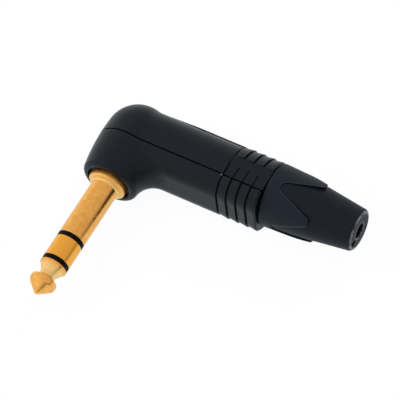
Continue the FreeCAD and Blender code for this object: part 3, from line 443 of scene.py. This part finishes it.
for point in thread.data.vertices:
    on_top = abs(point.co.y) < TOUCH and point.co.z > 0
    from_end = min(abs(point.co.x - THREAD_FROM), abs(point.co.x - THREAD_TO))
    point.select = on_top and from_end < PITCH / 2 - TOUCH
bpy.ops.object.mode_set(mode="EDIT")
bpy.ops.mesh.select_mode(type="VERT")
bpy.ops.transform.translate(value=(0, 0, -RUN_OUT))
bpy.ops.mesh.fill_holes(sides=PROFILE_CORNERS)
bpy.ops.mesh.select_all(action="SELECT")
bpy.ops.mesh.remove_doubles(threshold=TOUCH)
bpy.ops.mesh.normals_make_consistent(inside=False)
bpy.ops.object.mode_set(mode="OBJECT")
bpy.ops.object.transform_apply(location=True, rotation=True, scale=True)
bpy.ops.object.shade_smooth_by_angle(angle=SMOOTH_BELOW)
thread.data.materials.append(coat)
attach(thread, "housing")
thread.select_set(False)


# Table: a sheet of white paper that fades to white where it is seen or mirrored, keeps the plug's
# shadow, and throws pale light back on the plug.

TABLE_WIDTH = 8.0        # metres
TABLE_GAP = 0.02 * MM    # between the plug's lowest place and the paper
GLOW_SEEN = 0.96         # how much of the paper is pure white where it is seen, and in a mirror
GLOW_MIRRORED = 0.9

bpy.ops.mesh.primitive_plane_add(size=TABLE_WIDTH, location=(0, 0, cad_box[0].z - TABLE_GAP))
table = bpy.context.object
table.name = "table"
paper, _ = new_material("white_paper_table")
rays = node(paper, "ShaderNodeLightPath")
seen = node(paper, "ShaderNodeMath", {0: (rays, "Is Camera Ray"), 1: (rays, "Is Transmission Ray")},
            operation="MAXIMUM")
white_seen = node(paper, "ShaderNodeMath", {0: (seen, 0), 1: GLOW_SEEN}, operation="MULTIPLY")
white_mirrored = node(paper, "ShaderNodeMath", {0: (rays, "Is Glossy Ray"), 1: GLOW_MIRRORED},
                      operation="MULTIPLY")
white_share = node(paper, "ShaderNodeMath", {0: (white_seen, 0), 1: (white_mirrored, 0)},
                   operation="MAXIMUM")
sheet = node(paper, "ShaderNodeBsdfDiffuse", {"Color": (0.86, 0.86, 0.86, 1)})
cold_mirrored = node(paper, "ShaderNodeMix", {
    "Factor": (rays, "Is Glossy Ray"), "A": (1, 1, 1, 1), "B": (0.87, 0.94, 1.0, 1)},
    data_type="RGBA")
glow = node(paper, "ShaderNodeEmission", {"Color": (cold_mirrored, 2), "Strength": 1.0})
table_shader = node(paper, "ShaderNodeMixShader", {
    0: (white_share, 0), 1: (sheet, 0), 2: (glow, 0)})
finish_material(paper, table_shader)
table.data.materials.append(paper)


# Room: white walls all round, a little weaker at the back and to the right. Low down they are a
# little lighter, but dark in front on the right and at the far right. Two soft lamps stand in it,
# a large one at the window and a weaker one behind.

studio = bpy.data.worlds.new("studio")
bpy.context.scene.world = studio
studio.use_nodes = True
studio.node_tree.nodes.clear()
way = node(studio, "ShaderNodeTexCoord")
ways = node(studio, "ShaderNodeSeparateXYZ", {0: (way, "Generated")})
front_to_back = node(studio, "ShaderNodeMapRange", {
    "Value": (ways, "Y"), "From Min": -0.6, "From Max": 0.4, "To Min": 0.86, "To Max": 0.75},
    interpolation_type="SMOOTHSTEP")
left_to_right = node(studio, "ShaderNodeMapRange", {
    "Value": (ways, "X"), "From Min": -1.0, "From Max": 1.0, "To Min": 0.1, "To Max": -0.1})
walls = node(studio, "ShaderNodeMath", {0: (front_to_back, 0), 1: (left_to_right, 0)},
             operation="ADD")
low_down = node(studio, "ShaderNodeMapRange", {
    "Value": (ways, "Z"), "From Min": 0.05, "From Max": 0.48, "To Min": 1.0, "To Max": 0.0},
    interpolation_type="SMOOTHSTEP")
front_right = node(studio, "ShaderNodeMapRange", {
    "Value": (ways, "X"), "From Min": -0.25, "From Max": 0.25, "To Min": 0.1, "To Max": -0.58},
    interpolation_type="SMOOTHSTEP")
low_front = node(studio, "ShaderNodeMapRange", {
    "Value": (ways, "Y"), "From Min": -0.85, "From Max": -0.2, "To Min": (front_right, 0),
    "To Max": 0.15}, interpolation_type="SMOOTHSTEP")
low_right = node(studio, "ShaderNodeMapRange", {
    "Value": (ways, "X"), "From Min": 0.5, "From Max": 0.85, "To Min": 0.0, "To Max": -0.45},
    interpolation_type="SMOOTHSTEP")
low_walls = node(studio, "ShaderNodeMath", {0: (low_front, 0), 1: (low_right, 0)}, operation="ADD")
skirting = node(studio, "ShaderNodeMath", {0: (low_walls, 0), 1: (low_down, 0)},
                operation="MULTIPLY")
room_light = node(studio, "ShaderNodeMath", {0: (walls, 0), 1: (skirting, 0)}, operation="ADD")
room = node(studio, "ShaderNodeBackground", {"Color": (1, 1, 1, 1), "Strength": (room_light, 0)})
node(studio, "ShaderNodeOutputWorld", {"Surface": (room, 0)})

LAMP_AIM = Vector((0.02, 0.0, 0.0))


def lamp(name, place, size, power):
    """A square soft lamp that points at the plug, of this size in metres and power in watts."""
    light = bpy.data.lights.new(name, "AREA")
    light.size = size
    light.energy = power
    holder = bpy.data.objects.new(name, light)
    bpy.context.scene.collection.objects.link(holder)
    holder.location = place
    aim = LAMP_AIM - Vector(place)
    holder.rotation_euler = aim.to_track_quat("-Z", "Y").to_euler()
    holder.visible_glossy = False


lamp("window_lamp", (-0.45, -0.25, 0.55), 0.45, 3.0)
lamp("back_lamp", (0.1, 0.6, 0.45), 0.35, 1.6)


# Camera: it looks down on the plug from the finger's side and from the right, at the photograph's
# angle, turned a little and shifted to the photograph's frame.

CAMERA_AZIMUTH = math.radians(35.638)
CAMERA_ELEVATION = math.radians(56.832)
CAMERA_ROLL = math.radians(-7.874)
CAMERA_DISTANCE = 800 * MM
PIXELS_PER_MM = 4.5171
PHOTO_PIXELS = 400
AIM_RIGHT = 13.63 * MM   # from the elbow to the middle of the frame
AIM_UP = -13.858 * MM
SENSOR = 36.0            # its width in millimetres, as Blender takes it
NEAREST = 0.01           # metres, and nothing nearer or farther shows
FARTHEST = 20.0

ahead = Vector((-math.sin(CAMERA_AZIMUTH) * math.cos(CAMERA_ELEVATION),
                math.cos(CAMERA_AZIMUTH) * math.cos(CAMERA_ELEVATION),
                -math.sin(CAMERA_ELEVATION)))
level = Vector((math.cos(CAMERA_AZIMUTH), math.sin(CAMERA_AZIMUTH), 0))
upright = level.cross(ahead)
camera_right = math.cos(CAMERA_ROLL) * level + math.sin(CAMERA_ROLL) * upright
camera_up = math.cos(CAMERA_ROLL) * upright - math.sin(CAMERA_ROLL) * level
elbow = Vector((0, CABLE_AXIS_Y * MM, 0))
target = elbow + camera_right * AIM_RIGHT + camera_up * AIM_UP
camera = bpy.data.objects.new("camera", bpy.data.cameras.new("camera"))
bpy.context.scene.collection.objects.link(camera)
turn = Matrix((camera_right, camera_up, -ahead)).transposed()
camera.matrix_world = Matrix.Translation(target - ahead * CAMERA_DISTANCE) @ turn.to_4x4()
camera.data.sensor_width = SENSOR
camera.data.lens = SENSOR * PIXELS_PER_MM * (CAMERA_DISTANCE / MM) / PHOTO_PIXELS
camera.data.clip_start = NEAREST
camera.data.clip_end = FARTHEST
bpy.context.scene.camera = camera

bpy.context.scene.view_settings.view_transform = "Standard"
